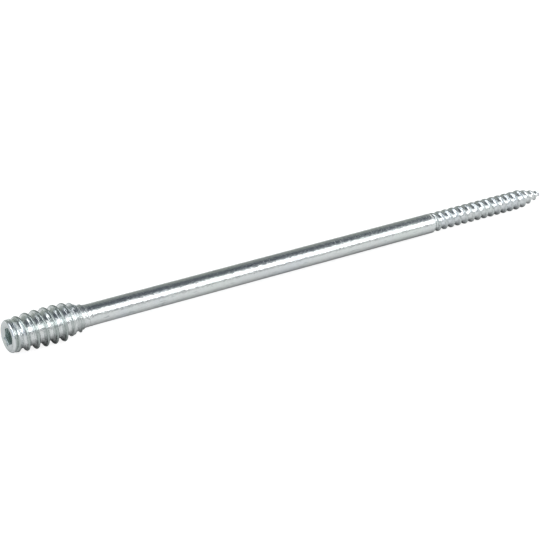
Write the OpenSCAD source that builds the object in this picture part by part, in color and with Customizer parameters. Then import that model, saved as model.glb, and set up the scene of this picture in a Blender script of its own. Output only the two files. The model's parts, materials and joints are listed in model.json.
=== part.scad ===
// Spacer screw: one cold-formed steel rod with an adjusting thread round its socket head,
// a plain shank and a wood thread of the same pitch, lying on a flat surface.
// Places along the screw are distances t from the flat end of its head.

/* [Overall] */
// Length from the flat end to the point
total_l = 180; // [100:5:260]
// Pitch of both threads, which have to be the same
pitch = 2.6; // [2:0.1:3.2]

/* [Head] */
// Diameter of the plain collar behind the flat end
collar_d = 8.6; // [8.2:0.1:9]
// Length of the plain collar
collar_l = 1.2; // [1:0.1:4]
// Radius of the rounded rim of the flat end
rim_r = 0.35; // [0.2:0.05:0.8]
// Length from the flat end to the plain shank
head_l = 22.5; // [16:0.5:36]
// Outer diameter of the adjusting thread
head_thread_d = 10; // [9.2:0.1:12]
// Root diameter of the adjusting thread
head_root_d = 7.5; // [6.5:0.1:8]
// Length over which the thread grows out of the collar
run_in_l = 8; // [3:0.5:10]
// Length over which the thread dies out before the shank
run_out_l = 7.5; // [4:0.5:10]
// Length of the waist that draws in to the shank
waist_l = 9; // [2:0.5:10]
// Turn of the adjusting thread about the axis, in degrees
head_thread_turn = 80; // [-180:5:180]

/* [Socket] */
// Width across the flats of the hexagon socket
socket_af = 4; // [3:0.5:5]
// Depth of the hexagon socket
socket_depth = 5; // [3:0.5:8]
// Turn of the socket about the axis, in degrees
socket_turn = 3; // [-30:1:30]

/* [Shank] */
// Diameter of the plain shank
shank_d = 5.85; // [5:0.05:6.4]

/* [Wood thread] */
// Length from the plain shank to the point
wood_l = 44.4; // [30:0.2:70]
// Outer diameter of the wood thread, which a sleeve on the shank has to clear
wood_thread_d = 5.8; // [4.9:0.05:6]
// Root diameter of the wood thread
wood_root_d = 4.2; // [3.4:0.1:4.6]
// Length over which the wood thread tapers to the point
taper_l = 8; // [5:0.5:14]
// Diameter of the thread at the end of the taper
nose_d = 2.9; // [2:0.1:3.4]
// Diameter of the blunt point
point_d = 0.5; // [0.3:0.1:1]
// Turn of the wood thread about the axis, in degrees
wood_thread_turn = 5; // [-180:5:180]

/* [Hidden] */

steel = [0.78, 0.79, 0.80];
// Facets of the true round surfaces, and sides of a thread in one turn
$fn = 64;
sides = 24;

// Thread forms over one pitch: [part of the pitch, height], 1 on the crest and 0 in the root
adjusting_form = [
    [0, 1], [0.08, 0.95], [0.15, 0.74], [0.34, 0.07],
    [0.50, 0], [0.66, 0.07], [0.85, 0.74], [0.92, 0.95]
];
wood_form = [[0.11, 1], [0.33, 0], [0.67, 0], [0.89, 1]];

// A thread starts this far under the plain surface that it grows out of
skin = 0.03;
// How far a threaded piece reaches into the plain piece beside it
bury = 1;
// The first groove of each thread deepens over this length
head_groove_l = 0.6 * pitch;
wood_groove_l = 0.45 * pitch;
// The waist ends in a fine ring that stands proud of the shank
ring_step = 0.075;
ring_l = 0.5;
// Length of the rounded nose behind the point
nose_l = 1.2;
// The socket's punch leaves a shallow cone below the hexagon
cone_d = 0.96 * socket_af;
cone_l = 0.3 * socket_af;
// How far a cut runs past the face that it opens
cut = 0.01;

collar_r = collar_d / 2;
head_r = head_thread_d / 2;
head_root_r = head_root_d / 2;
shank_r = shank_d / 2;
ring_r = shank_r + ring_step;
wood_r = wood_thread_d / 2;
wood_root_r = wood_root_d / 2;
nose_r = nose_d / 2;
point_r = point_d / 2;

shank_end = total_l - wood_l;
head_start = collar_l - bury;
wood_start = shank_end - bury;
// Where a crest of each thread passes under the axis
head_crest_t = collar_l + pitch * head_thread_turn / 360;
wood_crest_t = shank_end + pitch * wood_thread_turn / 360;

function mix(a, b, x) = a + (b - a) * x;
function ramp(t, from, to) = max(0, min(1, (t - from) / (to - from)));
function ease(x) = (1 - cos(180 * x)) / 2;

// Height of a thread form at part s of its pitch
function form_height(form, s) =
    lookup(s, [for (turn = [-1:1], p = form) [p[0] + turn, p[1]]]);

// Root, crest and run-out of the adjusting thread, and its surface at part s of a pitch
function head_root(t) =
    t < head_l - waist_l
        ? mix(collar_r - skin, head_root_r, ramp(t, collar_l, collar_l + head_groove_l))
        : mix(head_root_r, ring_r, ease(ramp(t, head_l - waist_l, head_l - ring_l)));
function head_crest(t) =
    mix(collar_r - skin, head_r, 1 - pow(1 - ramp(t, collar_l, collar_l + run_in_l), 2));
function head_fade(t) = pow(1 - ramp(t, head_l - run_out_l, head_l - ring_l), 2);
function head_r_at(t, s) =
    mix(head_root(t), head_crest(t), head_fade(t) * form_height(adjusting_form, s));

// Root, crest and rounded nose of the wood thread, and its surface at part s of a pitch
function wood_root(t) =
    t < total_l - taper_l
        ? mix(min(wood_r, shank_r) - skin, wood_root_r,
              ramp(t, shank_end, shank_end + wood_groove_l))
        : mix(wood_root_r, point_r, ramp(t, total_l - taper_l, total_l));
function wood_crest(t) =
    t < shank_end + pitch / 2
        ? min(wood_r, shank_r - skin)
        : mix(wood_r, nose_r, ramp(t, total_l - taper_l, total_l - nose_l / 2));
function nose(t) =
    mix(point_r, nose_r, sqrt(1 - pow(ramp(t, total_l - nose_l, total_l), 2)));
function wood_r_at(t, s) =
    let (r = mix(wood_root(t), max(wood_root(t), wood_crest(t)), form_height(wood_form, s)))
    t < total_l - nose_l ? r : min(r, nose(t));

// Radius of a thread at t, a number of turns round the axis from its lowest side
function thread_r(t, turns, crest_t, r_at) =
    let (along = (t - crest_t) / pitch - turns)
    r_at(t, along - floor(along));

// Points [t, depth below the axis] on the lowest flat of a thread, the pair of columns there
function lowest_flat(t0, t1, form, crest_t, r_at) = [
    for (turns = [-0.5, 0.5] / sides,
         n = [floor((t0 - crest_t) / pitch) - 1 : ceil((t1 - crest_t) / pitch) + 1],
         p = form)
        let (t = crest_t + pitch * (turns + n + p[0]))
        if (t > t0 && t < t1)
            [t, thread_r(t, turns, crest_t, r_at) * cos(180 / sides)]
];

// The screw rests on one point of each thread: the surface under it is the slope that
// touches both, found by a few rounds from level
function touching(points, slope) =
    let (depths = [for (p = points) p[1] + slope * p[0]])
    points[search(max(depths), depths)[0]];
function rest_slope(a, b, slope = 0, rounds = 4) =
    let (p = touching(a, slope), q = touching(b, slope))
    rounds == 0 ? slope : rest_slope(a, b, (p[1] - q[1]) / (q[0] - p[0]), rounds - 1);

head_flat = lowest_flat(head_start, head_l, adjusting_form, head_crest_t,
                        function(t, s) head_r_at(t, s));
wood_flat = lowest_flat(wood_start, total_l, wood_form, wood_crest_t,
                        function(t, s) wood_r_at(t, s));
slope = rest_slope(head_flat, wood_flat);
dip = atan(slope);
head_touch = touching(head_flat, slope);
axis_height = (head_touch[1] + slope * head_touch[0]) * cos(dip);
low_x = -(collar_r - rim_r) * sin(dip);
high_x = total_l * cos(dip) + point_r * sin(dip);

// A thread is `sides` columns round the axis, each a row of points along it, and each column
// stands a little further along than the one before. Points that would lie past an end are
// drawn back onto it, which closes the helix squarely.
module thread(t0, t1, form, crest_t, r_at) {
    points = len(form);
    first_crest = crest_t - pitch * (ceil((crest_t - t0) / pitch) + 1);
    rows = points * (ceil((t1 - first_crest) / pitch) + 2);
    places = [for (i = [0:sides - 1]) [for (k = [0:rows])
        first_crest + pitch * ((i + 0.5) / sides + floor(k / points) + form[k % points][0])]];
    // The last point of each column on the near end, and the first on the far end
    near = [for (column = places) max([for (k = [0:rows]) if (column[k] <= t0) k])];
    far = [for (column = places) min([for (k = [0:rows]) if (column[k] >= t1) k])];
    wall = [for (i = [0:sides - 1], k = [0:rows])
        let (
            turns = (i + 0.5) / sides,
            t = max(t0, min(t1, places[i][k])),
            r = thread_r(t, turns, crest_t, r_at)
        )
        [r * cos(360 * turns), r * sin(360 * turns), t - t0]];
    // Number of a point, where column `sides` is the first column, one turn further on
    at = function(i, k)
        i == sides ? at(0, k + points) : i * (rows + 1) + max(near[i], min(far[i], k));
    strips = [for (i = [0:sides - 1], k = [0:rows - 1])
        let (a = at(i, k), b = at(i, k + 1), c = at(i + 1, k + 1), d = at(i + 1, k))
        each concat(a != b ? [[a, b, c]] : [], c != d ? [[a, c, d]] : [])];
    ends = [for (i = [0:sides - 1])
        each [
            [len(wall), at(i, 0), at(i + 1, -points)],
            [len(wall) + 1, at(i + 1, rows), at(i, rows)]
        ]];
    translate([0, 0, t0])
        polyhedron(concat(wall, [[0, 0, 0], [0, 0, t1 - t0]]), concat(strips, ends));
}

// Flat end and plain collar, with a rounded rim
module collar() {
    rim = [for (a = [0:15:90]) [collar_r - rim_r * (1 - sin(a)), rim_r * (1 - cos(a))]];
    rotate_extrude()
        polygon(concat([[0, 0]], rim, [[collar_r, collar_l], [0, collar_l]]));
}

module adjusting_thread() {
    thread(head_start, head_l, adjusting_form, head_crest_t,
           function(t, s) head_r_at(t, s));
}

module shank() {
    translate([0, 0, head_l - bury])
        cylinder(r = shank_r, h = shank_end - head_l + bury);
}

module wood_thread() {
    thread(wood_start, total_l, wood_form, wood_crest_t,
           function(t, s) wood_r_at(t, s));
}

// Hexagon socket with the shallow cone that its punch leaves
module socket() {
    rotate([0, 0, socket_turn]) {
        translate([0, 0, -cut])
            cylinder(d = socket_af / cos(30), h = socket_depth + cut, $fn = 6);
        translate([0, 0, socket_depth - cut])
            cylinder(d1 = cone_d, d2 = 0, h = cone_l);
    }
}

// The axis runs along X, with the point ahead, and dips from the head to the wood thread
module spacer_screw() {
    color(steel)
        translate([-(low_x + high_x) / 2, 0, axis_height])
            rotate([0, 90 + dip, 0])
                difference() {
                    union() {
                        collar();
                        adjusting_thread();
                        shank();
                        wood_thread();
                    }
                    socket();
                }
}

spacer_screw();
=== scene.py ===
"""Builds a zinc-plated spacer screw and the small studio that it lies in."""

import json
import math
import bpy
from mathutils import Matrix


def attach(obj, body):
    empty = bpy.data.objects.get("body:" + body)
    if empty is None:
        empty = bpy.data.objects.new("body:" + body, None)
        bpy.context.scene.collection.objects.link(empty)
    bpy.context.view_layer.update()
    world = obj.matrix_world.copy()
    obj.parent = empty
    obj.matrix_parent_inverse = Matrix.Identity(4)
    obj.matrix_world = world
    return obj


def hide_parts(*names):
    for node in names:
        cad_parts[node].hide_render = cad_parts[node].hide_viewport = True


bl_info = {
    "name": "Spacer screw",
    "version": (1, 0, 0),
    "blender": (4, 5, 0),
    "location": "View3D > Sidebar > Screw",
    "description": "Makes a spacer screw with two coarse rolled threads, and its studio",
    "category": "Add Mesh",
}

import bmesh
import bpy
from bpy.props import FloatProperty, FloatVectorProperty, IntProperty, PointerProperty
from mathutils import Matrix, Vector, noise

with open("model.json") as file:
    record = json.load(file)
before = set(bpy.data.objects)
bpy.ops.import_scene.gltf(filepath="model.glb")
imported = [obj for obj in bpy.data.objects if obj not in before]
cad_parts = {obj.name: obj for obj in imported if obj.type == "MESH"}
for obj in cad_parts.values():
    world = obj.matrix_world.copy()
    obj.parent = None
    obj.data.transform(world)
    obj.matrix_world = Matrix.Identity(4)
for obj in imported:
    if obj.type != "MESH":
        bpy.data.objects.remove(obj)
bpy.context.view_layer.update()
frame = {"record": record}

MM = 0.001
CAD_NODE = "spacer_screw"

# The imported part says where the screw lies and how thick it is
MOUNTS = {mount["name"]: mount for mount in frame["record"]["mounts"]}
FACE = Vector(MOUNTS["hex_socket"]["pos_m"])
AXIS = Vector(MOUNTS["shank"]["axis"]).normalized()
SHANK_D = 2 * MOUNTS["shank"]["dims"]["r_mm"] * MM
SOCKET_DEPTH = MOUNTS["hex_socket"]["dims"]["length_mm"] * MM
ADJUSTING_D = 2 * MOUNTS["head_thread"]["dims"]["r_mm"] * MM
WOOD_D = 2 * MOUNTS["wood_thread"]["dims"]["r_mm"] * MM
WOOD_L = MOUNTS["wood_thread"]["dims"]["length_mm"] * MM

# Points closer than WELD are merged, and a cut or an end loop takes in points within SNAP
WELD = 0.002 * MM
SNAP = 0.001 * MM


def size(name, text, default):
    return FloatProperty(name=name, description=text, default=default, unit="LENGTH", precision=5)


def number(name, text, default):
    return FloatProperty(name=name, description=text, default=default, precision=4)


def angle(name, text, degrees):
    return FloatProperty(
        name=name, description=text, default=math.radians(degrees), subtype="ANGLE"
    )


def colour(name, text, default):
    return FloatVectorProperty(
        name=name, description=text, default=default, subtype="COLOR", size=3
    )


class ScrewSizes(bpy.types.PropertyGroup):
    """Sizes that both threads share, and the plain parts of the screw."""

    length: size("Length", "From the flat end of the head to the point", 178.9 * MM)
    pitch: size("Pitch", "Pitch of both threads", 2.6 * MM)
    shank_d: size("Shank", "Diameter of the plain shank", SHANK_D)
    rim_d: size("End", "Diameter of the flat end over its rim", 8.6 * MM)
    neck_d: size("Neck", "Diameter of the shallow neck behind the rim", 8.0 * MM)
    collar_d: size("Collar", "Diameter of the collar where the thread starts", 8.75 * MM)
    collar_l: size("Collar length", "Length of the plain collar", 1.0 * MM)
    crown: size("Crown", "Distance by which the flat end stands out from the collar", 0.45 * MM)
    rim_r: size("Rim", "Radius of the rounded rim of the flat end", 0.75 * MM)
    socket_af: size("Socket", "Width across the flats of the socket", 4 * MM)
    socket_depth: size("Socket depth", "Depth of the socket", SOCKET_DEPTH)
    socket_lip: size("Socket lip", "Width of the worn edge round the socket", 0.1 * MM)
    dish_d: size("Dish", "Diameter of the shallow dish that leads into the socket", 6.2 * MM)
    dish_edge: size("Dish edge", "Depth of the dish at its outer edge", 0.05 * MM)
    cone_d: size("Cone", "Diameter of the cone that the punch leaves", 3.68 * MM)
    cone_l: size("Cone depth", "Depth of that cone below the socket", 1.2 * MM)
    socket_turn: angle("Socket turn", "Turn of the socket about the axis", 3)
    ring_gap: size("Ring gap", "Distance between the rings of the shank's mesh", 0.8 * MM)
    ring_h: size("Ring", "Height of the fine ring where the head meets the shank", 0.05 * MM)
    sides: IntProperty(name="Sides", description="Sides of a thread in one turn", default=80)


class AdjustingThread(bpy.types.PropertyGroup):
    """The coarse thread round the head, which dies out towards the shank."""

    crest_d: size("Crest diameter", "Diameter over the crests", ADJUSTING_D)
    root_d: size("Root diameter", "Diameter at the root", 7.5 * MM)
    shoulder_w: size("Shoulder width", "Width over the shoulders of the rounded crest", 0.5 * MM)
    shoulder_h: number("Shoulder height", "Height of the shoulders, in thread heights", 0.87)
    toe_w: size("Toe width", "Width over the bends at the feet of the flanks", 0.86 * MM)
    toe_h: number("Toe height", "Height of those bends, in thread heights", 0.42)
    root_w: size("Root width", "Width of the flat root", 0.9 * MM)
    fillet: size("Fillet", "Length of the rounding at each corner of the form", 0.11 * MM)
    grain: size("Grain", "Longest step of the mesh across the form", 0.14 * MM)
    groove: number("Groove", "Length over which the first groove deepens, in pitches", 0.6)
    lip_gap: size("Lip gap", "Distance between the two lips of a split crest", 1.05 * MM)
    lip_w: size("Lip width", "Width of each lip", 0.24 * MM)
    second_lip: number("Second lip", "Height of the second lip, where 1 is the first's", 0.6)
    split_from: number("Split from", "Where crests begin to split, in run-outs from the end", 0.9)
    split_by: number("Split by", "Where they are fully split, in run-outs from the end", 0.6)
    ripple: size("Ripple", "Distance between the fine rolling lines of a split crest", 0.45 * MM)
    ripple_h: number("Ripple height", "Height of those lines, in thread heights", 0.2)
    tear: number("Tear", "Part by which the torn lips rise and fall", 0.4)
    tear_l: size("Tear length", "Advance of the crest over one tear", 0.5 * MM)
    tear_w: size("Tear width", "Width of one tear across the crest", 0.6 * MM)
    end: size("End", "Place where the head meets the shank", 22.3 * MM)
    run_in: size("Run-in", "Length over which the crest grows", 8 * MM)
    run_out: size("Run-out", "Length over which the thread dies out", 7.0 * MM)
    fade: number("Fade", "Power with which the thread dies out", 1.5)
    waist: size("Waist", "Length of the waist that draws in to the shank", 9.0 * MM)
    crest_at: size("Crest place", "Place of a crest below the axis", 1.62 * MM)


class WoodThread(bpy.types.PropertyGroup):
    """The thread at the point, which tapers over its last turns."""

    crest_d: size("Crest diameter", "Diameter over the crests", WOOD_D)
    root_d: size("Root diameter", "Diameter at the root", 4.2 * MM)
    shoulder_w: size("Shoulder width", "Width over the shoulders of the rounded crest", 0.56 * MM)
    shoulder_h: number("Shoulder height", "Height of the shoulders, in thread heights", 0.9)
    toe_w: size("Toe width", "Width over the bends at the feet of the flanks", 1.1 * MM)
    toe_h: number("Toe height", "Height of those bends, in thread heights", 0.36)
    root_w: size("Root width", "Width of the flat root", 0.8 * MM)
    fillet: size("Fillet", "Length of the rounding at each corner of the form", 0.12 * MM)
    grain: size("Grain", "Longest step of the mesh across the form", 0.2 * MM)
    groove: number("Groove", "Length over which the first groove deepens, in pitches", 0.45)
    wear: number("Wear", "Wear of the crests, where 1 is as worn as the head's", 0.65)
    length: size("Thread length", "Length of the thread with its point", WOOD_L - 1.1 * MM)
    taper: size("Taper", "Length over which the thread tapers", 8 * MM)
    nose_d: size("Nose", "Diameter of the thread at the end of the taper", 2.5 * MM)
    nose_l: size("Nose length", "Length of the rounded nose", 1.0 * MM)
    point_d: size("Point", "Diameter of the blunt point", 1.1 * MM)
    crest_at: size("Crest place", "Place of a crest below the axis", 135.636 * MM)


class PlatingFinish(bpy.types.PropertyGroup):
    """Bright zinc plating over rolled steel."""

    plain: colour("Zinc", "Colour of the plating", (0.755, 0.78, 0.775))
    blue: colour("Blue tint", "Bluish film on the plating", (0.73, 0.77, 0.79))
    green: colour("Green tint", "Greenish film on the plating", (0.75, 0.80, 0.775))
    scratch: colour("Scratches", "Colour of the fine marks left by rolling", (0.40, 0.44, 0.46))
    worn: colour("Worn zinc", "Colour of the worn crests and the flat end", (0.46, 0.505, 0.49))
    # Painted shade: the inside of the socket is coloured darker than the plating
    painted_socket_shade: colour("Recess", "Colour of the painted shade inside the socket", (0.36, 0.425, 0.41))
    scratch_share: number("Scratch share", "How far a scratch takes on its own colour", 0.6)
    swells: size("Swells", "Depth of the broad swells in the surface", 0.09 * MM)
    pits: size("Pits", "Depth of the fine pits", 0.12 * MM)
    rolling: size("Rolling marks", "Depth of the marks on the rolled parts", 0.14 * MM)
    roughness: number("Roughness", "Roughness of the bright plating", 0.2)
    crest_roughness: number("Crest roughness", "Roughness of the worn crests", 0.24)


class StageSettings(bpy.types.PropertyGroup):
    """Floor, light and camera."""

    floor: colour("Floor", "Colour of the floor", (0.36, 0.36, 0.36))
    floor_w: size("Floor width", "Width of the square floor", 6.0)
    focal: FloatProperty(name="Lens", description="Focal length", default=100, unit="CAMERA")
    camera: FloatVectorProperty(
        name="Camera",
        description="Place of the camera",
        default=(-220.44 * MM, -312.76 * MM, 180.16 * MM),
        subtype="TRANSLATION",
    )
    azimuth: angle("Azimuth", "Turn of the camera from the Y axis towards the X axis", 33.782)
    elevation: angle("Elevation", "Angle at which the camera looks down", 25.219)
    floor_glow: number("Floor glow", "Glow that the floor adds to what falls on it", 0.86)
    mirrored_share: number("Mirrored share", "Part of the glow that the plating mirrors", 0.66)
    contact: size("Contact", "Distance within which the screw dims the glow", 60 * MM)
    shadow: number("Shadow", "Part of open sky above a place where the glow is gone", 0.22)
    softbox_level: number("Front softbox", "Brightness of the long softbox, 1 for white", 2.8)
    side_wall: colour("Side wall", "Colour of the wall beyond the head", (0.30, 0.35, 0.41))
    side_level: number("Side softbox", "Brightness of the softbox at the head's end", 1.7)
    slats: number("Slats", "Turn of the slats' wave over a step of 1 to the right, in radians", 60)
    slat_level: number("Slat level", "Brightness of the pale slats", 0.16)
    window_level: number("Window", "Brightness of the window beyond the point", 0.8)


def mix(start, end, share):
    return start + (end - start) * share


def ramp(value, start, end):
    """Share of the way from start to end, kept between 0 and 1."""
    return min(1.0, max(0.0, (value - start) / (end - start)))


def ease(share):
    return (1 - math.cos(math.pi * share)) / 2


# ---------------------------------------------------------------- mesh tools


def open_loop(bm, place):
    """Boundary edges that lie square across the axis at a place."""
    return [
        edge
        for edge in bm.edges
        if edge.is_boundary and all(abs(vert.co.x - place) < SNAP for vert in edge.verts)
    ]


def new_verts(made):
    return [part for part in made if isinstance(part, bmesh.types.BMVert)]


def grow(bm, loop, place, radius=None, scale=1.0):
    """Extrudes an end loop along the axis, to a radius or by a scale, and returns the new loop."""
    made = bmesh.ops.extrude_edge_only(bm, edges=loop)["geom"]
    moved = set(new_verts(made))
    for vert in moved:
        factor = scale if radius is None else radius / math.hypot(vert.co.y, vert.co.z)
        vert.co = (place, vert.co.y * factor, vert.co.z * factor)
    edges = [part for part in made if isinstance(part, bmesh.types.BMEdge)]
    return [edge for edge in edges if moved.issuperset(edge.verts)]


def close(bm, loop, place):
    """Closes an end loop in one point on the axis."""
    tip = grow(bm, loop, place, scale=0.5)
    verts = list({vert for edge in tip for vert in edge.verts})
    bmesh.ops.pointmerge(bm, verts=verts, merge_co=(place, 0, 0))


def thread_tube(form, pitch, sides, start, end):
    """Spins one turn of a thread's outline, repeats it and cuts both ends square."""
    bm = bmesh.new()
    root_r, crest_r = form.root_d / 2, form.crest_d / 2
    flank = [
        (-pitch / 2, root_r),
        ((form.root_w - pitch) / 2, root_r),
        (-form.toe_w / 2, mix(root_r, crest_r, form.toe_h)),
        (-form.shoulder_w / 2, mix(root_r, crest_r, form.shoulder_h)),
    ]
    outline = [*flank, (0, crest_r), *((-x, r) for x, r in reversed(flank))]
    first = form.crest_at - pitch * (math.ceil((form.crest_at - start) / pitch) + 1)
    verts = [bm.verts.new((first + x, 0, -r)) for x, r in outline]
    for pair in zip(verts, verts[1:]):
        bm.edges.new(pair)
    bmesh.ops.bevel(
        bm,
        geom=verts[1:-1],
        offset=form.fillet,
        segments=3,
        profile=0.5,
        affect="VERTICES",
        material=-1,
    )
    for edge in bm.edges[:]:
        cuts = math.ceil(edge.calc_length() / form.grain) - 1
        if cuts > 0:
            bmesh.ops.subdivide_edges(bm, edges=[edge], cuts=cuts)
    bmesh.ops.spin(
        bm,
        geom=bm.verts[:] + bm.edges[:],
        axis=(1, 0, 0),
        dvec=(pitch / sides, 0, 0),
        angle=2 * math.pi,
        steps=sides,
    )
    turn = bm.verts[:] + bm.edges[:] + bm.faces[:]
    for turns_on in range(1, math.ceil((end - first) / pitch) + 1):
        copy = bmesh.ops.duplicate(bm, geom=turn)["geom"]
        bmesh.ops.translate(bm, verts=new_verts(copy), vec=(pitch * turns_on, 0, 0))
    bmesh.ops.remove_doubles(bm, verts=bm.verts, dist=WELD)
    for place, side in ((start, -1), (end, 1)):
        bmesh.ops.bisect_plane(
            bm,
            geom=bm.verts[:] + bm.edges[:] + bm.faces[:],
            dist=SNAP,
            plane_co=(place, 0, 0),
            plane_no=(side, 0, 0),
            clear_outer=True,
        )
    loose = [vert for vert in bm.verts if not vert.link_faces]
    bmesh.ops.delete(bm, geom=loose, context="VERTS")
    return bm


def reshape(bm, form, pitch, radius_at):
    """Gives each point of a thread its own radius, from its place, its height in the form and
    its distance along the axis from the middle of the crest."""
    crest = bm.verts.layers.float.new("crest")
    root_r, crest_r = form.root_d / 2, form.crest_d / 2
    for vert in bm.verts:
        radius = math.hypot(vert.co.y, vert.co.z)
        height = (radius - root_r) / (crest_r - root_r)
        turns = math.atan2(vert.co.y, -vert.co.z) / (2 * math.pi)
        along = (vert.co.x - form.crest_at) / pitch - turns
        wanted, vert[crest] = radius_at(vert.co.x, height, (along - round(along)) * pitch)
        vert.co.y *= wanted / radius
        vert.co.z *= wanted / radius


# ---------------------------------------------------------------- the screw


def hump(distance, width):
    return math.exp(-((distance / width) ** 2))


def adjusting_thread(sizes, form):
    """Thread of the head, from the collar to the shank, with split and torn last crests."""
    collar_r, shank_r = sizes.collar_d / 2, sizes.shank_d / 2
    root_r, crest_r = form.root_d / 2, form.crest_d / 2
    groove_end = sizes.collar_l + form.groove * sizes.pitch
    waist_at = form.end - form.waist
    split_from = form.end - form.split_from * form.run_out
    split_by = form.end - form.split_by * form.run_out

    def radius_at(t, height, offset):
        root = mix(collar_r, root_r, ramp(t, sizes.collar_l, groove_end))
        if t > waist_at:
            root = mix(root_r, shank_r, ease(ramp(t, waist_at, form.end)))
        grown = 1 - (1 - ramp(t, sizes.collar_l, sizes.collar_l + form.run_in)) ** 2
        crest = mix(collar_r, crest_r, grown)
        fade = (1 - ramp(t, form.end - form.run_out, form.end)) ** form.fade
        lips = hump(offset + form.lip_gap / 2, form.lip_w)
        lips += form.second_lip * hump(offset - form.lip_gap / 2, form.lip_w)
        ripple = form.ripple_h * math.cos(2 * math.pi * offset / form.ripple)
        torn = 1 + form.tear * noise.noise(Vector((t / form.tear_l, offset / form.tear_w, 0)))
        split = max(0, lips + ripple) * torn
        height = mix(height, split, ramp(t, split_from, split_by))
        return mix(root, crest, fade * height), height * fade

    bm = thread_tube(form, sizes.pitch, sizes.sides, sizes.collar_l, form.end)
    reshape(bm, form, sizes.pitch, radius_at)
    return bm


def wood_thread(sizes, form):
    """Thread of the point, from the shank to the nose."""
    start = sizes.length - form.length
    taper_at = sizes.length - form.taper
    nose_at = sizes.length - form.nose_l
    root_r, crest_r, shank_r = form.root_d / 2, form.crest_d / 2, sizes.shank_d / 2
    groove_end = start + form.groove * sizes.pitch

    def radius_at(t, height, offset):
        root = mix(shank_r, root_r, ramp(t, start, groove_end))
        crest = mix(shank_r, crest_r, ramp(t, start, groove_end))
        if t > taper_at:
            root = mix(root_r, form.point_d / 2, ramp(t, taper_at, sizes.length))
            crest = mix(crest_r, form.nose_d / 2, ramp(t, taper_at, nose_at + form.nose_l / 2))
        radius = mix(root, max(root, crest), height)
        if t > nose_at:
            rounded = math.sqrt(max(0.0, 1 - ramp(t, nose_at, sizes.length) ** 2))
            radius = min(radius, mix(form.point_d, form.nose_d, rounded) / 2)
        return radius, form.wear * height

    bm = thread_tube(form, sizes.pitch, sizes.sides, start, sizes.length)
    reshape(bm, form, sizes.pitch, radius_at)
    return bm


def flat_end(bm, sizes):
    """Shallow neck, rounded rim and flat face, up to the dish round the socket."""
    rim, neck, collar = sizes.rim_d / 2, sizes.neck_d / 2, sizes.collar_d / 2
    rim_at = sizes.rim_r - sizes.crown
    # Part of the way from the rim to the collar, and the radius there
    outline = (
        (0.9, mix(neck, collar, 0.8)),
        (0.65, mix(neck, collar, 0.1)),
        (0.45, mix(neck, rim, 0.1)),
        (0.2, mix(neck, rim, 0.85)),
        (0, rim),
    )
    loop = open_loop(bm, sizes.collar_l)
    for share, radius in outline:
        loop = grow(bm, loop, mix(rim_at, sizes.collar_l, share), radius)
    rim_steps = 6
    for step in range(1, rim_steps + 1):
        turn = math.pi / 2 * step / rim_steps
        place = sizes.rim_r * (1 - math.sin(turn)) - sizes.crown
        loop = grow(bm, loop, place, rim - sizes.rim_r * (1 - math.cos(turn)))
    return loop


def hexagon(bm, loop, sizes, place, across):
    """Extrudes an end loop along the axis to a hexagon of a width across its flats."""
    loop = grow(bm, loop, place)
    for vert in {vert for edge in loop for vert in edge.verts}:
        turn = math.atan2(vert.co.y, -vert.co.z) - sizes.socket_turn
        from_flat = (turn % (math.pi / 3)) - math.pi / 6
        factor = across / 2 / math.cos(from_flat) / vert.co.yz.length
        vert.co.y *= factor
        vert.co.z *= factor
    return loop


def socket(bm, sizes, loop):
    """Shallow dish, hexagon socket with a worn lip, and the cone that its punch leaves."""
    across, lip = sizes.socket_af, sizes.socket_lip
    loop = grow(bm, loop, sizes.dish_edge - sizes.crown, radius=sizes.dish_d / 2)
    loop = hexagon(bm, loop, sizes, -0.5 * lip, across + 2 * lip)
    loop = hexagon(bm, loop, sizes, 0, across + lip)
    loop = hexagon(bm, loop, sizes, lip, across)
    loop = grow(bm, loop, sizes.socket_depth)
    loop = grow(bm, loop, sizes.socket_depth, radius=sizes.cone_d / 2)
    close(bm, loop, sizes.socket_depth + sizes.cone_l)


def shank(bm, sizes, form_end, wood_start):
    """Fine ring and plain shank, whose rings lie close enough to carry its slight waviness."""
    radius = sizes.shank_d / 2
    # Part of the gap between two rings of the mesh, and part of the fine ring's height
    outline = ((0.1, 0.8), (0.2, 1), (0.35, 0.8), (0.5, 0), (1, 0))
    loop = open_loop(bm, form_end)
    for share, swell in outline:
        loop = grow(bm, loop, form_end + share * sizes.ring_gap, radius + swell * sizes.ring_h)
    loop = grow(bm, loop, wood_start - sizes.ring_gap, radius)
    long_edges = [edge for edge in bm.edges if edge.calc_length() > 10 * sizes.ring_gap]
    rings = round((wood_start - form_end) / sizes.ring_gap)
    bmesh.ops.subdivide_edges(bm, edges=long_edges, cuts=rings, use_grid_fill=True)
    bmesh.ops.bridge_loops(bm, edges=loop + open_loop(bm, wood_start))


# Width and height of the swells that rolling leaves, and the radius inside which there are none
SWELLS = ((6 * MM, 0.010 * MM), (1.1 * MM, 0.006 * MM))
SMOOTH_R = 2.5 * MM


def roughen(bm):
    """Moves the surface in and out by a hundredth of a millimetre, as rolling leaves it."""
    for vert in bm.verts:
        radius = math.hypot(vert.co.y, vert.co.z)
        if radius < SMOOTH_R:
            continue
        swell = sum(noise.noise(vert.co / width) * height for width, height in SWELLS)
        vert.co.y *= 1 + swell / radius
        vert.co.z *= 1 + swell / radius


def mark_wear_and_shade(bm, sizes, head_end, wood_start):
    """Marks the rolled parts, the worn flat end and the socket, whose inside gets a painted shade,
    for the finish.
    """
    painted_socket_shade = bm.verts.layers.float.new("painted_socket_shade")
    rolled = bm.verts.layers.float.new("rolled")
    crest = bm.verts.layers.float["crest"]
    face_r, face_wear, rim_wear = 3.8 * MM, 0.6, 0.2
    socket_r, socket_end = 0.62 * sizes.socket_af, 2 * sizes.socket_depth
    for vert in bm.verts:
        place, radius = vert.co.x, vert.co.yz.length
        vert[rolled] = float(not head_end < place < wood_start)
        if place < 0:
            vert[crest] = face_wear if radius < face_r else rim_wear
        # The inside of the socket is marked for a painted shade
        if radius < socket_r and -10 * SNAP < place < socket_end:
            vert[painted_socket_shade] = 1.0


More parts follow.
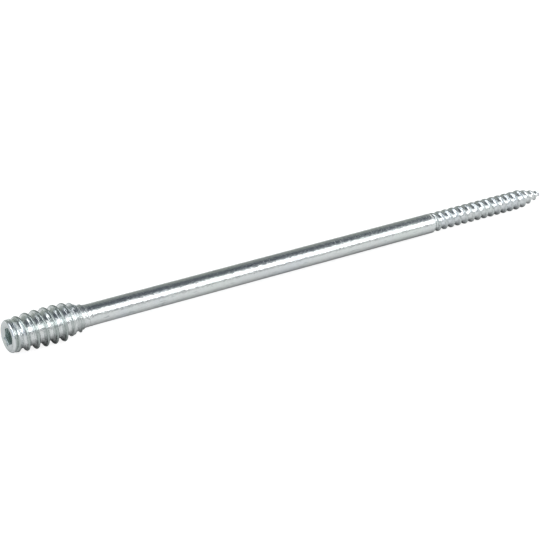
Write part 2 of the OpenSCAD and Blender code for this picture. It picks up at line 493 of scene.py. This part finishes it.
def screw_mesh(sizes, head_form, wood_form):
    """The whole screw as one closed mesh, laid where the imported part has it."""
    bm = adjusting_thread(sizes, head_form)
    point = wood_thread(sizes, wood_form)
    tip_mesh = bpy.data.meshes.new("point")
    point.to_mesh(tip_mesh)
    point.free()
    bm.from_mesh(tip_mesh)
    bpy.data.meshes.remove(tip_mesh)
    close(bm, open_loop(bm, sizes.length), sizes.length)
    socket(bm, sizes, flat_end(bm, sizes))
    wood_start = sizes.length - wood_form.length
    shank(bm, sizes, head_form.end, wood_start)
    bmesh.ops.remove_doubles(bm, verts=bm.verts, dist=SNAP / 2)
    mark_wear_and_shade(bm, sizes, head_form.end, wood_start)
    roughen(bm)
    bmesh.ops.recalc_face_normals(bm, faces=bm.faces)
    for face in bm.faces:
        face.smooth = True
    turn = Vector((1, 0, 0)).rotation_difference(AXIS).to_matrix().to_4x4()
    bmesh.ops.transform(bm, matrix=Matrix.Translation(FACE) @ turn, verts=bm.verts)
    mesh = bpy.data.meshes.new("plated_screw")
    bm.to_mesh(mesh)
    bm.free()
    mesh.set_sharp_from_angle(angle=math.radians(38))
    return mesh


# ---------------------------------------------------------------- the finish


# Noise in the plating: grains to the metre, how closely they lie along the screw and across it
# both ways, and their detail
GRAINS = {
    "film": (90, (1, 1, 1), 2),
    "tint": (140, (1, 1, 1), 3),
    "scratches": (2400, (0.12, 1, 1), 2),
    "haze": (1800, (1, 1, 1), 4),
    "swells": (380, (1, 0.4, 0.4), 2),
    "pits": (1700, (1.1, 0.6, 0.6), 3),
    "rolling": (900, (1, 0.7, 0.7), 2),
}
# Range of a noise, or of the wear, over which what it drives goes from none to all
FILM_EDGE = (0.42, 0.58)
SOFT_EDGE = (0.35, 0.65)
SCRATCH_EDGE = (0.62, 0.70)
WEAR_EDGE = (0.35, 0.95)
# Least and greatest roughness of the bright plating, as a part of the middle one
HAZE = (0.8, 1.3)


def zinc_plating(finish):
    """Bright plating with tinted films, lengthwise scratches, worn crests, a painted shade inside
    the socket and a fine grain.
    """
    material = bpy.data.materials.new("zinc_plating")
    material.use_nodes = True
    tree = material.node_tree
    tree.nodes.clear()
    nodes, links = tree.nodes, tree.links

    def node(kind, **values):
        made = nodes.new(kind)
        for key, value in values.items():
            if key in made.inputs:
                made.inputs[key].default_value = value
            else:
                setattr(made, key, value)
        return made

    def grain(name):
        """Noise that follows the screw's own axes, although the screw dips to its point."""
        scale, stretch, detail = GRAINS[name]
        mapping = node("ShaderNodeMapping", Rotation=(0, math.asin(AXIS.z), 0), Scale=stretch)
        links.new(place.outputs["Object"], mapping.inputs["Vector"])
        made = node("ShaderNodeTexNoise", Scale=scale, Detail=detail)
        links.new(mapping.outputs["Vector"], made.inputs["Vector"])
        return made.outputs["Fac"]

    def blend(factor, first, second):
        made = node("ShaderNodeMix", data_type="RGBA")
        links.new(factor, made.inputs[0])
        for socket_in, value in ((made.inputs[6], first), (made.inputs[7], second)):
            if isinstance(value, bpy.types.NodeSocket):
                links.new(value, socket_in)
            else:
                socket_in.default_value = (*value, 1)
        return made.outputs[2]

    def spread(value, low, high, to_low=0.0, to_high=1.0):
        limits = {"From Min": low, "From Max": high, "To Min": to_low, "To Max": to_high}
        made = node("ShaderNodeMapRange", **limits)
        links.new(value, made.inputs["Value"])
        return made.outputs["Result"]

    def bump(height, depth, below=None, strength=None):
        made = node("ShaderNodeBump", Distance=depth)
        links.new(height, made.inputs["Height"])
        if strength is not None:
            links.new(strength, made.inputs["Strength"])
        if below is not None:
            links.new(below, made.inputs["Normal"])
        return made.outputs["Normal"]

    place = node("ShaderNodeTexCoord")
    crest = node("ShaderNodeAttribute", attribute_name="crest")
    painted_socket_shade = node("ShaderNodeAttribute", attribute_name="painted_socket_shade")
    rolled = node("ShaderNodeAttribute", attribute_name="rolled")
    shader = node("ShaderNodeBsdfPrincipled", Metallic=1.0)
    output = node("ShaderNodeOutputMaterial")
    links.new(shader.outputs["BSDF"], output.inputs["Surface"])

    worn = spread(crest.outputs["Fac"], *WEAR_EDGE)
    film = blend(spread(grain("film"), *FILM_EDGE), finish.blue, finish.green)
    tinted = blend(spread(grain("tint"), *SOFT_EDGE), film, finish.plain)
    scratches = spread(grain("scratches"), *SCRATCH_EDGE, 0, finish.scratch_share)
    marked = blend(scratches, tinted, finish.scratch)
    dulled = blend(worn, marked, finish.worn)
    # Inside the socket the colour goes over to a painted shade
    links.new(blend(painted_socket_shade.outputs["Fac"], dulled, finish.painted_socket_shade), shader.inputs["Base Color"])
    haze = spread(grain("haze"), *SOFT_EDGE, *(finish.roughness * part for part in HAZE))
    rough = node("ShaderNodeMix", data_type="FLOAT", B=finish.crest_roughness)
    links.new(worn, rough.inputs["Factor"])
    links.new(haze, rough.inputs["A"])
    links.new(rough.outputs["Result"], shader.inputs["Roughness"])
    normal = bump(grain("swells"), finish.swells)
    normal = bump(grain("pits"), finish.pits, normal)
    normal = bump(grain("rolling"), finish.rolling, normal, rolled.outputs["Fac"])
    links.new(normal, shader.inputs["Normal"])
    return material


# ---------------------------------------------------------------- the stage


def calculate(tree, operation, *values):
    """Adds a Math node, whose inputs are numbers or the outputs of other nodes."""
    made = tree.nodes.new("ShaderNodeMath")
    made.operation = operation
    for number_in, value in zip(made.inputs, values):
        if isinstance(value, bpy.types.NodeSocket):
            tree.links.new(value, number_in)
        else:
            number_in.default_value = value
    return made.outputs[0]


def soften(tree, value, low, high):
    """Adds a node that rises smoothly from 0 to 1 as a value goes from low to high."""
    made = tree.nodes.new("ShaderNodeMapRange")
    made.interpolation_type = "SMOOTHSTEP"
    made.inputs["From Min"].default_value = low
    made.inputs["From Max"].default_value = high
    tree.links.new(value, made.inputs["Value"])
    return made.outputs["Result"]


def product(tree, *factors):
    """Adds the Math nodes that multiply two or more factors."""
    result = factors[0]
    for factor in factors[1:]:
        result = calculate(tree, "MULTIPLY", result, factor)
    return result


def floor_piece(stage):
    """White floor, whose own faint glow keeps it white and leaves the screw's shadow on it."""
    bm = bmesh.new()
    bmesh.ops.create_grid(bm, x_segments=1, y_segments=1, size=stage.floor_w / 2)
    mesh = bpy.data.meshes.new("studio_floor")
    bm.to_mesh(mesh)
    bm.free()
    material = bpy.data.materials.new("floor_paper")
    material.use_nodes = True
    tree = material.node_tree
    shader = tree.nodes["Principled BSDF"]
    shader.inputs["Base Color"].default_value = (*stage.floor, 1)
    shader.inputs["Roughness"].default_value = 0.9
    shader.inputs["Specular IOR Level"].default_value = 0.0
    shader.inputs["Emission Color"].default_value = (1, 1, 1, 1)
    path = tree.nodes.new("ShaderNodeLightPath")
    open_sky = tree.nodes.new("ShaderNodeAmbientOcclusion")
    open_sky.inputs["Distance"].default_value = stage.contact
    shaded = soften(tree, open_sky.outputs["AO"], stage.shadow, 1.0)
    mirrored = product(tree, shaded, path.outputs["Is Glossy Ray"], stage.mirrored_share)
    seen = calculate(
        tree, "MAXIMUM", path.outputs["Is Camera Ray"], path.outputs["Is Transmission Ray"]
    )
    glow = product(tree, calculate(tree, "MAXIMUM", seen, mirrored), stage.floor_glow)
    tree.links.new(glow, shader.inputs["Emission Strength"])
    mesh.materials.append(material)
    floor = bpy.data.objects.new("studio_floor", mesh)
    bpy.context.scene.collection.objects.link(floor)
    return floor


# Colour of the room at each angle from the zenith towards the front, in degrees
WALLS = {
    -90: (0.61, 0.64, 0.62),
    -80: (0.39, 0.42, 0.40),
    -50: (0.26, 0.28, 0.27),
    -30: (0.10, 0.12, 0.13),
    -15: (0.03, 0.04, 0.06),
    15: (0.06, 0.08, 0.10),
    60: (0.11, 0.12, 0.13),
    80: (0.22, 0.23, 0.24),
    90: (0.66, 0.66, 0.66),
}

# Soft edges of the lamps: where the light of each begins and where it is full. The first two
# are in degrees from the zenith towards the front, and the others are parts of a direction of
# length 1 towards the right, the back or up.
FRONT_TOP = (12, 60)
FRONT_FOOT = (79, 55)
FRONT_END_RIGHT = (-0.25, 0.1)
SIDE_TOP_UP = (0.42, 0.58)
SIDE_NEAR_BACK = (-0.2, -0.45)
SIDE_NEAR_UP = (0.1, 0.25)
SIDE_FAR_BACK = (0.6, 0.35)
SIDE_RIGHT = (-0.35, -0.6)
WINDOW_RIGHT = (0.66, 0.82)
WINDOW_UP = (-0.1, 0.0)
SLAT_WAVE = (-0.5, 0.9)
SLATS_UP = (0.5, 0.8)
TINT_RIGHT = (-0.3, -0.7)
TINT_BACK = (0.75, 0.4)


def studio_room(stage):
    """Studio round the screw: pale walls, a dark ceiling with paler slats, a long softbox in
    front, another beyond the head and a window beyond the point."""
    world = bpy.data.worlds.new("studio_room")
    world.use_nodes = True
    bpy.context.scene.world = world
    tree = world.node_tree
    tree.nodes.clear()
    place = tree.nodes.new("ShaderNodeTexCoord")
    axes = tree.nodes.new("ShaderNodeSeparateXYZ")
    tree.links.new(place.outputs["Generated"], axes.inputs[0])
    right, back, up = axes.outputs
    lean = calculate(tree, "ARCTAN2", product(tree, back, -1), up)

    walls = tree.nodes.new("ShaderNodeValToRGB")
    share = calculate(tree, "ADD", calculate(tree, "DIVIDE", lean, math.pi), 0.5)
    tree.links.new(share, walls.inputs["Fac"])
    elements = walls.color_ramp.elements
    while len(elements) < len(WALLS):
        elements.new(0.5)
    for element, degrees in zip(elements, WALLS):
        element.position = (degrees + 90) / 180
    for element, shade in zip(elements, WALLS.values()):
        element.color = (*shade, 1)

    front = product(
        tree,
        soften(tree, lean, *map(math.radians, FRONT_TOP)),
        soften(tree, lean, *map(math.radians, FRONT_FOOT)),
        soften(tree, right, *FRONT_END_RIGHT),
    )
    side_near = product(tree, soften(tree, back, *SIDE_NEAR_BACK), soften(tree, up, *SIDE_NEAR_UP))
    side = product(
        tree,
        calculate(tree, "MAXIMUM", soften(tree, up, *SIDE_TOP_UP), side_near),
        soften(tree, back, *SIDE_FAR_BACK),
        soften(tree, right, *SIDE_RIGHT),
    )
    window = product(tree, soften(tree, right, *WINDOW_RIGHT), soften(tree, up, *WINDOW_UP))
    wave = calculate(tree, "SINE", product(tree, right, stage.slats))
    slats = product(tree, soften(tree, wave, *SLAT_WAVE), soften(tree, up, *SLATS_UP))
    lamps = product(tree, front, stage.softbox_level)
    for lamp, level in (
        (slats, stage.slat_level),
        (side, stage.side_level),
        (window, stage.window_level),
    ):
        lamps = calculate(tree, "ADD", lamps, product(tree, lamp, level))

    blue_side = product(tree, soften(tree, right, *TINT_RIGHT), soften(tree, back, *TINT_BACK))
    tinted = tree.nodes.new("ShaderNodeMix")
    tinted.data_type = "RGBA"
    tree.links.new(blue_side, tinted.inputs[0])
    tree.links.new(walls.outputs["Color"], tinted.inputs[6])
    tinted.inputs[7].default_value = (*stage.side_wall, 1)
    light = tree.nodes.new("ShaderNodeBackground")
    tree.links.new(tinted.outputs[2], light.inputs["Color"])
    glow = tree.nodes.new("ShaderNodeBackground")
    tree.links.new(lamps, glow.inputs["Strength"])
    glow.inputs["Color"].default_value = (1, 1, 1, 1)
    both = tree.nodes.new("ShaderNodeAddShader")
    tree.links.new(light.outputs[0], both.inputs[0])
    tree.links.new(glow.outputs[0], both.inputs[1])
    output = tree.nodes.new("ShaderNodeOutputWorld")
    tree.links.new(both.outputs[0], output.inputs["Surface"])


def studio_camera(stage):
    data = bpy.data.cameras.new("studio_camera")
    data.lens = stage.focal
    data.sensor_width = 36
    data.clip_start = 0.01
    camera = bpy.data.objects.new("studio_camera", data)
    camera.location = stage.camera
    camera.rotation_euler = (math.pi / 2 - stage.elevation, 0, -stage.azimuth)
    bpy.context.scene.collection.objects.link(camera)
    bpy.context.scene.camera = camera


# ---------------------------------------------------------------- operators


class SCREW_OT_screw(bpy.types.Operator):
    """Makes the screw as one plated piece in place of the plain solid"""

    bl_idname = "screw.screw"
    bl_label = "Make the screw"

    def execute(self, context):
        scene = context.scene
        mesh = screw_mesh(scene.screw_sizes, scene.screw_adjusting, scene.screw_wood)
        mesh.materials.append(zinc_plating(scene.screw_finish))
        piece = bpy.data.objects.new("plated_screw", mesh)
        scene.collection.objects.link(piece)
        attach(piece, "root")
        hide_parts(CAD_NODE)
        return {"FINISHED"}


class SCREW_OT_stage(bpy.types.Operator):
    """Makes the floor, the studio light and the camera"""

    bl_idname = "screw.stage"
    bl_label = "Make the stage"

    def execute(self, context):
        stage = context.scene.screw_stage
        floor_piece(stage)
        studio_room(stage)
        studio_camera(stage)
        context.scene.view_settings.view_transform = "Standard"
        return {"FINISHED"}


class SCREW_PT_panel(bpy.types.Panel):
    """Lists the screw's operators and sizes"""

    bl_label = "Spacer screw"
    bl_idname = "SCREW_PT_panel"
    bl_space_type = "VIEW_3D"
    bl_region_type = "UI"
    bl_category = "Screw"

    def draw(self, context):
        for name in STEPS:
            self.layout.operator(f"screw.{name}")
        for name in GROUPS:
            box = self.layout.box()
            group = getattr(context.scene, name)
            for key in group.bl_rna.properties.keys():
                if key not in ("rna_type", "name"):
                    box.prop(group, key)


STEPS = ("screw", "stage")
GROUPS = {
    "screw_sizes": ScrewSizes,
    "screw_adjusting": AdjustingThread,
    "screw_wood": WoodThread,
    "screw_finish": PlatingFinish,
    "screw_stage": StageSettings,
}
CLASSES = (*GROUPS.values(), SCREW_OT_screw, SCREW_OT_stage, SCREW_PT_panel)


def register():
    for made in CLASSES:
        bpy.utils.register_class(made)
    for name, group in GROUPS.items():
        setattr(bpy.types.Scene, name, PointerProperty(type=group))


def unregister():
    for name in GROUPS:
        delattr(bpy.types.Scene, name)
    for made in reversed(CLASSES):
        bpy.utils.unregister_class(made)


def main():
    register()
    for name in STEPS:
        getattr(bpy.ops.screw, name)()


if __name__ == "__main__":
    main()
